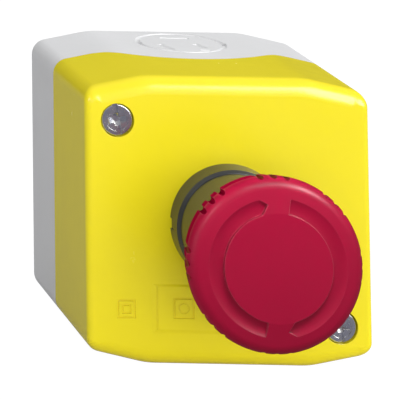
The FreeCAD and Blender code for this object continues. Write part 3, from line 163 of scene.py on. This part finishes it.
def plastic(name, base, rough=0.32, spread=0.06, grain=0.05, grain_scale=5200.0, tone=0.03, edge=0.0, coat=0.0,
            coat_rough=0.12, sss=0.0, sss_colour=None, spec=0.5, radius=0.15 * MM, flow=0.0, satin=False):
    """Moulded plastic: spark-eroded grain, slow tone and gloss changes, rounded edges lightened in colour as a painted
    highlight.
    """
    t = Tree(name)
    normal, edges = t.soft(radius)
    slow = t.noise(46.0, 2.0, 0.5)
    mid = t.noise(420.0, 3.0, 0.55)
    colour = t.mix(t.ramp(slow, 0.35, 0.65), rgba(base, 1 - tone), rgba(base, 1 + tone * 0.6))
    colour = t.mix(t.ramp(mid, 0.42, 0.70, 0.0, 0.35), colour, rgba(base, 1 - tone * 1.2))
    if edge:
        # painted highlight: the colour on edges is lifted toward white
        edge_highlight_colour = tuple(min(1.0, v + (1 - v) * 0.22) for v in base)
        colour = t.mix(t.math("MULTIPLY", edges, edge), colour, rgba(edge_highlight_colour))
    t.t.links.new(colour, t.bsdf.inputs["Base Color"])
    r = t.ramp(mid, 0.3, 0.7, rough - spread * 0.5, rough + spread * 0.5)
    r = t.math("ADD", r, t.ramp(slow, 0.3, 0.7, -spread * 0.35, spread * 0.35), clamp=True)
    t.t.links.new(r, t.bsdf.inputs["Roughness"])
    fine = t.noise(grain_scale, 2.0, 0.6)
    n = t.bump(fine, grain, 0.02 * MM, normal)
    if flow:
        n = t.bump(t.noise(70.0, 1.0, 0.4), flow, 0.3 * MM, n)
    t.t.links.new(n, t.bsdf.inputs["Normal"])
    t.bsdf.inputs["Specular IOR Level"].default_value = spec
    if satin:
        # a satin surface does not turn into a mirror at a glancing angle
        facing = t.node("ShaderNodeLayerWeight")
        facing.inputs["Blend"].default_value = 0.5
        t.t.links.new(t.ramp(facing.outputs["Facing"], 0.42, 0.80, spec, 0.0), t.bsdf.inputs["Specular IOR Level"])
    if coat:
        t.bsdf.inputs["Coat Weight"].default_value = coat
        t.bsdf.inputs["Coat Roughness"].default_value = coat_rough
        t.t.links.new(n, t.bsdf.inputs["Coat Normal"])
    if sss:
        t.bsdf.inputs["Subsurface Weight"].default_value = sss
        t.bsdf.inputs["Subsurface Radius"].default_value = sss_colour or base
        t.bsdf.inputs["Subsurface Scale"].default_value = 0.6 * MM
    return t.m


def metal(name, base, rough=0.26, spread=0.12, stretch=None, scratch=0.10, stain=None, tone=0.06, radius=0.08 * MM, scale=900.0):
    """Plated or bare metal: fine directional marks, faint tarnish, rounded edges with a painted highlight."""
    t = Tree(name)
    normal, edges = t.soft(radius)
    slow = t.noise(240.0, 3.0, 0.6)
    marks = t.noise(scale, 4.0, 0.65, stretch or (1.0, 6.0, 1.0))
    colour = t.mix(t.ramp(slow, 0.35, 0.65), rgba(base, 1 - tone), rgba(base, min(1.0 + tone, 1.0 / max(base))))
    if stain:
        colour = t.mix(t.ramp(slow, 0.52, 0.72, 0.0, 0.55), colour, rgba(stain))
    # painted highlight: the colour on edges is mixed toward near white
    colour = t.mix(t.math("MULTIPLY", edges, 0.35), colour, rgba((0.92, 0.92, 0.93)))
    t.t.links.new(colour, t.bsdf.inputs["Base Color"])
    t.bsdf.inputs["Metallic"].default_value = 1.0
    t.t.links.new(t.ramp(marks, 0.3, 0.7, rough - spread * 0.5, rough + spread * 0.5), t.bsdf.inputs["Roughness"])
    t.t.links.new(t.bump(marks, scratch, 0.02 * MM, normal), t.bsdf.inputs["Normal"])
    return t.m


def rubber(name, base, rough=0.75):
    t = Tree(name)
    normal, edges = t.soft(0.15 * MM)
    slow = t.noise(180.0, 3.0, 0.6)
    dust = t.noise(2600.0, 3.0, 0.7)
    colour = t.mix(t.ramp(slow, 0.35, 0.65), rgba(base, 0.8), rgba(base, 1.35))
    colour = t.mix(t.ramp(dust, 0.60, 0.80, 0.0, 0.12), colour, rgba((0.35, 0.34, 0.33)))
    t.t.links.new(colour, t.bsdf.inputs["Base Color"])
    t.t.links.new(t.ramp(dust, 0.3, 0.7, rough - 0.08, rough + 0.10), t.bsdf.inputs["Roughness"])
    t.t.links.new(t.bump(dust, 0.20, 0.03 * MM, normal), t.bsdf.inputs["Normal"])
    t.bsdf.inputs["Sheen Weight"].default_value = 0.12
    return t.m


# ---------------------------------------------------------------- finishes, one for each material slot
YELLOW = (0.890, 0.748, 0.014)
RED = (0.190, 0.0014, 0.0175)
GREY = (0.770, 0.770, 0.775)

finish = {
    "yellow_shell": plastic("yellow_shell", YELLOW, rough=0.24, spread=0.04, grain=0.03, tone=0.012, edge=0.15, spec=0.40,
                            sss=0.0, flow=0.012, radius=0.15 * MM),
    "grey_shell": plastic("grey_shell", GREY, rough=0.42, spread=0.06, grain=0.05, tone=0.014, edge=0.30, sss=0.0,
                          spec=0.35, flow=0.010, radius=0.15 * MM),
    "red_cap": plastic("red_cap", RED, rough=0.34, spread=0.07, grain=0.07, grain_scale=3800.0, tone=0.025, edge=0.22,
                       spec=0.12, flow=0.010, radius=0.25 * MM, satin=True),
    "dark_plastic": plastic("dark_plastic", (0.040, 0.042, 0.047), rough=0.24, spread=0.04, grain=0.025, tone=0.05,
                            edge=0.25, spec=0.6, radius=0.18 * MM),
    "light_plastic": plastic("light_plastic", (0.58, 0.58, 0.56), rough=0.45, spread=0.08, grain=0.08, tone=0.03, edge=0.3),
    "spindle_plastic": plastic("spindle_plastic", (0.60, 0.585, 0.54), rough=0.38, spread=0.08, grain=0.06, tone=0.03,
                               edge=0.3, sss=0.15, sss_colour=(1.0, 0.95, 0.85)),
    "nc_plunger_red": plastic("nc_plunger_red", (0.50, 0.020, 0.020), rough=0.34, spread=0.08, grain=0.06, tone=0.05, edge=0.3),
    "no_plunger_green": plastic("no_plunger_green", (0.020, 0.250, 0.070), rough=0.34, spread=0.08, grain=0.06, tone=0.05, edge=0.3),
    "black_rubber": rubber("black_rubber", (0.022, 0.022, 0.023)),
    "zinc_steel": metal("zinc_steel", (0.68, 0.685, 0.75), rough=0.22, spread=0.14, stain=(0.72, 0.66, 0.50), tone=0.08),
    "spring_steel": metal("spring_steel", (0.50, 0.50, 0.51), rough=0.28, spread=0.10, stretch=(5.0, 1.0, 5.0), tone=0.08),
    "copper_alloy": metal("copper_alloy", (0.80, 0.56, 0.27), rough=0.30, spread=0.12, stain=(0.55, 0.33, 0.16), tone=0.08,
                          stretch=(1.0, 1.0, 8.0)),
    "silver": metal("silver", (0.88, 0.87, 0.85), rough=0.34, spread=0.10, stain=(0.62, 0.58, 0.50), tone=0.05),
}

slots = {}
for part in frame["record"].get("parts", []) if isinstance(frame["record"].get("parts"), list) else []:
    if isinstance(part, dict) and part.get("node") and part.get("material_slot"):
        slots[part["node"]] = part["material_slot"]
FALLBACK = {
    "rear_housing": "grey_shell", "front_cover": "yellow_shell", "mushroom_cap": "red_cap",
    "operator_body": "dark_plastic", "fixing_nut": "dark_plastic", "latch_clip": "dark_plastic",
    "pusher_sleeve": "dark_plastic", "push_pad": "dark_plastic", "thrust_washer": "light_plastic",
    "spindle": "spindle_plastic", "cover_gasket": "black_rubber", "cover_screw_seals": "black_rubber",
    "panel_seal": "black_rubber", "stem_seal": "black_rubber", "reset_spring": "spring_steel",
    "twist_spring": "spring_steel", "spindle_circlip": "spring_steel", "cap_retaining_clip": "spring_steel",
    "cover_screws": "zinc_steel", "terminal_screws": "zinc_steel", "terminal_clamps": "zinc_steel",
}
for k in ("nc", "no"):
    FALLBACK.update({
        k + "_block_housing": "light_plastic", k + "_block_cover": "dark_plastic", k + "_fixed_contacts": "copper_alloy",
        k + "_fixed_rivets": "silver", k + "_bridge_contact": "copper_alloy", k + "_bridge_rivets": "silver",
        k + "_plunger_spring": "spring_steel",
    })
FALLBACK["nc_plunger"] = "nc_plunger_red"
FALLBACK["no_plunger"] = "no_plunger_green"

for name, obj in nodes.items():
    old = [s.material.name.split(".")[0] if s.material else "" for s in obj.material_slots]
    key = slots.get(name) or next((o for o in old if o in finish), None) or FALLBACK.get(name, "dark_plastic")
    obj.data.materials.clear()
    obj.data.materials.append(finish[key])
    obj["finish"] = key


# ---------------------------------------------------------------- springs built as coil meshes, each carried by its body
def spring(name, mean, wire, y0, y1, active, u=0.0, v=0.0, sides=14, steps=40, phase=0.0):
    """A compression spring along Y with a closed, squared coil at each end. Sizes in mm."""
    y0, y1, mean, wire, u, v = (c * MM for c in (y0, y1, mean, wire, u, v))
    closed = 1.0
    turns = active + 2 * closed
    span = (y1 - y0) - 2 * wire
    dead = 2 * wire * 1.03
    rise = span - 2 * dead * closed

    def height(t):
        if t <= closed:
            return dead * t
        if t >= turns - closed:
            return span - dead * (turns - t)
        s = (t - closed) / active
        ease = s - math.sin(2 * math.pi * s) / (2 * math.pi) * 0.10
        return dead * closed + rise * ease

    count = int(turns * steps) + 1
    bm = bmesh.new()
    rings = []
    for i in range(count):
        t = turns * i / (count - 1)
        a = 2 * math.pi * t + phase
        p = Vector((u + mean * math.cos(a), y0 + wire + height(t), v + mean * math.sin(a)))
        dt = turns / (count - 1) * 0.5
        ya, yb = height(max(0, t - dt)), height(min(turns, t + dt))
        slope = (yb - ya) / (2 * math.pi * 2 * dt)
        tangent = Vector((-mean * math.sin(a), slope, mean * math.cos(a))).normalized()
        out = Vector((math.cos(a), 0, math.sin(a)))
        side = tangent.cross(out).normalized()
        out = side.cross(tangent).normalized()
        rings.append([bm.verts.new(p + out * (wire * math.cos(b)) + side * (wire * math.sin(b)))
                      for b in (2 * math.pi * j / sides for j in range(sides))])
    for r0, r1 in zip(rings, rings[1:]):
        for j in range(sides):
            k = (j + 1) % sides
            bm.faces.new((r0[j], r0[k], r1[k], r1[j]))
    bm.faces.new(list(reversed(rings[0])))
    bm.faces.new(rings[-1])
    bmesh.ops.recalc_face_normals(bm, faces=bm.faces[:])
    me = bpy.data.meshes.new(name)
    bm.to_mesh(me)
    bm.free()
    for p in me.polygons:
        p.use_smooth = len(p.vertices) == 4
    ob = bpy.data.objects.new(name, me)
    sc.collection.objects.link(ob)
    me.materials.append(finish["spring_steel"])
    return ob


def span(node):
    a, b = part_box(node)
    return a.y / MM, b.y / MM, (a.x + b.x) / 2 / MM, (a.z + b.z) / 2 / MM, (b.x - a.x) / 2 / MM


a0, a1, au, av, aro = span("reset_spring")
reset = spring("reset_spring_coil", aro - 0.55, 0.55, -73.0 + 0.01, -58.0 - 0.01, 4.6, 0.0, 0.0)
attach(reset, "cover")
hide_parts("reset_spring")
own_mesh(reset)

for kind in ("nc", "no"):
    b0, b1, bu, bv, bro = span(kind + "_plunger_spring")
    coil = spring(kind + "_plunger_coil", bro - 0.24, 0.24, -14.0 + 0.01, -3.9, 7.0, bu, bv, sides=12, steps=32)
    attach(coil, "base")
    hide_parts(kind + "_plunger_spring")
    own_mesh(coil)


# ---------------------------------------------------------------- stage: pale floor, soft light, camera
floor_z = lo0.z - 0.00005
bm = bmesh.new()
n = 24
for i in range(n + 1):
    for j in range(n + 1):
        bm.verts.new(((i / n - 0.5) * 5.0, (j / n - 0.5) * 5.0, floor_z))
bm.verts.ensure_lookup_table()
for i in range(n):
    for j in range(n):
        q = i * (n + 1) + j
        bm.faces.new((bm.verts[q], bm.verts[q + n + 1], bm.verts[q + n + 2], bm.verts[q + 1]))
me = bpy.data.meshes.new("floor")
bm.to_mesh(me)
bm.free()
floor = bpy.data.objects.new("floor", me)
sc.collection.objects.link(floor)
t = Tree("floor_paper")
t.bsdf.inputs["Base Color"].default_value = (0.70, 0.70, 0.70, 1)
t.t.links.new(t.ramp(t.noise(300.0, 3.0), 0.3, 0.7, 0.75, 0.9), t.bsdf.inputs["Roughness"])
t.bsdf.inputs["Specular IOR Level"].default_value = 0.1
glow = t.node("ShaderNodeEmission")
glow.inputs["Color"].default_value = (1, 1, 1, 1)
glow.inputs["Strength"].default_value = 1.10
path = t.node("ShaderNodeLightPath")
share = t.math("MULTIPLY", path.outputs["Is Camera Ray"], 0.90)
mixer = t.node("ShaderNodeMixShader")
t.t.links.new(share, mixer.inputs[0])
t.t.links.new(t.bsdf.outputs[0], mixer.inputs[1])
t.t.links.new(glow.outputs[0], mixer.inputs[2])
# in reflections the paper is a mid grey, so that metal and gloss keep their contrast
mirror = t.node("ShaderNodeEmission")
mirror.inputs["Color"].default_value = (0.22, 0.22, 0.25, 1)
mirror.inputs["Strength"].default_value = 1.0
last = t.node("ShaderNodeMixShader")
t.t.links.new(path.outputs["Is Glossy Ray"], last.inputs[0])
t.t.links.new(mixer.outputs[0], last.inputs[1])
t.t.links.new(mirror.outputs[0], last.inputs[2])
t.t.links.new(last.outputs[0], t.out.inputs["Surface"])
me.materials.append(t.m)

world = bpy.data.worlds.new("studio")
sc.world = world
world.use_nodes = True
wt = world.node_tree
wt.nodes.clear()
wo = wt.nodes.new("ShaderNodeOutputWorld")
wm = wt.nodes.new("ShaderNodeMixShader")
wp = wt.nodes.new("ShaderNodeLightPath")
coord = wt.nodes.new("ShaderNodeTexCoord")


def toward(direction):
    """1 in a direction of the sky, 0 opposite to it, changing evenly."""
    d = Vector(direction).normalized()
    dot = wt.nodes.new("ShaderNodeVectorMath")
    dot.operation = "DOT_PRODUCT"
    dot.inputs[1].default_value = d
    wt.links.new(coord.outputs["Generated"], dot.inputs[0])
    r = wt.nodes.new("ShaderNodeMapRange")
    r.inputs["From Min"].default_value = -1.0
    r.inputs["From Max"].default_value = 1.0
    wt.links.new(dot.outputs["Value"], r.inputs["Value"])
    return r.outputs["Result"]


def sky(direction, stops):
    n = wt.nodes.new("ShaderNodeValToRGB")
    ramp = n.color_ramp
    while len(ramp.elements) < len(stops):
        ramp.elements.new(0.5)
    for e, (at, k) in zip(ramp.elements, stops):
        e.position = at
        e.color = (k * 0.985, k * 0.99, k, 1)
    wt.links.new(toward(direction), n.inputs[0])
    g = wt.nodes.new("ShaderNodeBackground")
    wt.links.new(n.outputs[0], g.inputs["Color"])
    return g


amb = sky((1.0, 0.0, 0.0), ((0.0, 0.0), (0.5, 0.73), (0.64, 1.0), (1.0, 1.0)))
amb.inputs["Strength"].default_value = 1.44
seen = wt.nodes.new("ShaderNodeBackground")
seen.inputs["Color"].default_value = (1, 1, 1, 1)
seen.inputs["Strength"].default_value = 1.0
dim = sky((-0.10, -0.45, 0.89), ((0.0, 0.02), (0.55, 0.05), (0.72, 0.22), (0.85, 0.42)))
dim.inputs["Strength"].default_value = 1.0
ws = wt.nodes.new("ShaderNodeMixShader")
wt.links.new(wp.outputs["Is Glossy Ray"], ws.inputs[0])
wt.links.new(amb.outputs[0], ws.inputs[1])
wt.links.new(dim.outputs[0], ws.inputs[2])
wt.links.new(wp.outputs["Is Camera Ray"], wm.inputs[0])
wt.links.new(ws.outputs[0], wm.inputs[1])
wt.links.new(seen.outputs[0], wm.inputs[2])
wt.links.new(wm.outputs[0], wo.inputs["Surface"])

centre = (lo0 + hi0) / 2


def softbox(name, direction, distance, size, watts, colour=(1, 1, 1), target=None, part="both", only=None):
    """A rectangular lamp aimed at the target. part: "diffuse", "gloss" or "both"; only: the nodes it lights."""
    d = Vector(direction).normalized()
    data = bpy.data.lights.new(name, "AREA")
    data.shape = "RECTANGLE"
    data.size, data.size_y = size
    data.energy = watts
    data.color = colour
    ob = bpy.data.objects.new(name, data)
    sc.collection.objects.link(ob)
    ob.location = (centre if target is None else Vector(target) * MM) + d * distance
    ob.rotation_mode = "QUATERNION"
    ob.rotation_quaternion = (-d).to_track_quat("-Z", "Y")
    ob.visible_diffuse = part != "gloss"
    ob.visible_glossy = part != "diffuse"
    if only:
        group = bpy.data.collections.new(name + "_receives")
        for piece in only:
            group.objects.link(nodes[piece])
        ob.light_linking.receiver_collection = group
    return ob


# Shape: the side-lit sky and a big frontal lamp. Sparkle: cards that are seen only in reflections.
SHELL = [n for n in nodes if n not in ("mushroom_cap", "cover_screws")]
softbox("low_front", (0.02, -0.99, 0.12), 0.90, (0.50, 0.12), 1.15, (1.0, 0.998, 0.99), part="diffuse", only=SHELL)
softbox("front_soft", (-0.30, -0.90, 0.31), 0.95, (0.55, 0.55), 2.05, (1.0, 0.998, 0.99), part="diffuse")
softbox("top_soft", (0.0, 0.35, 0.94), 0.60, (0.36, 0.36), 0.30, (1.0, 1.0, 1.0), part="diffuse", only=SHELL)
softbox("front_right", (0.44, -0.84, 0.31), 0.95, (0.55, 0.55), 0.37, (1.0, 0.998, 0.99), part="diffuse")
softbox("right_card", (0.62, -0.62, 0.48), 0.60, (0.46, 0.50), 9.4, (1.0, 1.0, 0.99), part="gloss", only=SHELL)
softbox("screw_card", (0.62, -0.62, 0.48), 0.60, (0.46, 0.50), 4.0, (1.0, 1.0, 0.90), part="gloss", only=["cover_screws"])
softbox("left_card", (-0.66, -0.50, 0.56), 0.60, (0.12, 0.16), 0.9, (1.0, 1.0, 1.0), part="gloss", only=SHELL)
softbox("cap_glow", (0.10, -0.62, 0.78), 0.085, (0.05, 0.03), 0.175, (1.0, 1.0, 1.0), target=(0, -91, 20), part="diffuse",
        only=["mushroom_cap"])
softbox("cap_fill", (-0.95, -0.25, 0.15), 0.40, (0.15, 0.15), 0.90, (1.0, 1.0, 1.0), target=(0, -90, 0), part="diffuse",
        only=["mushroom_cap"])
softbox("cap_card", (0.60, -0.52, 0.60), 0.40, (0.14, 0.14), 3.6, (1.0, 1.0, 1.0), target=(0, -90, 0), part="gloss",
        only=["mushroom_cap"])
softbox("cap_left", (-0.66, -0.50, 0.56), 0.40, (0.05, 0.08), 0.7, (1.0, 1.0, 1.0), target=(0, -90, 0), part="gloss",
        only=["mushroom_cap"])

cam_data = bpy.data.cameras.new("camera")
cam = bpy.data.objects.new("camera", cam_data)
sc.collection.objects.link(cam)
sc.camera = cam
right = Vector((0.9995480216767891, 0.02830425844524847, 0.010130217958247874)).normalized()
ahead = Vector((-0.02898999502109717, 0.9967193791080138, 0.07556493564618512)).normalized()
up = right.cross(ahead).normalized()
right = ahead.cross(up).normalized()
m = Matrix((right, up, -ahead)).transposed()
cam.rotation_mode = "XYZ"
cam.rotation_euler = m.to_euler("XYZ")
cam.location = Vector((-216.57307, -770.50710, 192.77779)) * MM
cam_data.sensor_width = 36.0
cam_data.lens = 258.81565
cam_data.clip_start, cam_data.clip_end = 0.05, 20.0


def lens_shift(path, value):
    """The view is a shifted one, as from a technical camera. The shift holds while the camera keeps its own Euler
    rotation (mode 1), and is zero for a camera that is turned by a quaternion (mode 0) to look straight at the object."""
    fc = cam_data.driver_add(path)
    for mod in list(fc.modifiers):
        fc.modifiers.remove(mod)
    d = fc.driver
    d.type = "SUM"
    var = d.variables.new()
    var.name = "mode"
    var.type = "SINGLE_PROP"
    var.targets[0].id = cam
    var.targets[0].data_path = "rotation_mode"
    while len(fc.keyframe_points):
        fc.keyframe_points.remove(fc.keyframe_points[0])
    for x, y in ((0, 0.0), (1, value)):
        fc.keyframe_points.insert(x, y, options={"FAST"}).interpolation = "LINEAR"
    fc.extrapolation = "CONSTANT"
    fc.update()


lens_shift("shift_x", 2.362275)
lens_shift("shift_y", -2.515605)

sc.view_settings.view_transform = "Standard"
sc.view_settings.look = "None"
sc.view_settings.exposure = 0.0
sc.view_settings.gamma = 1.0

bpy.context.view_layer.update()
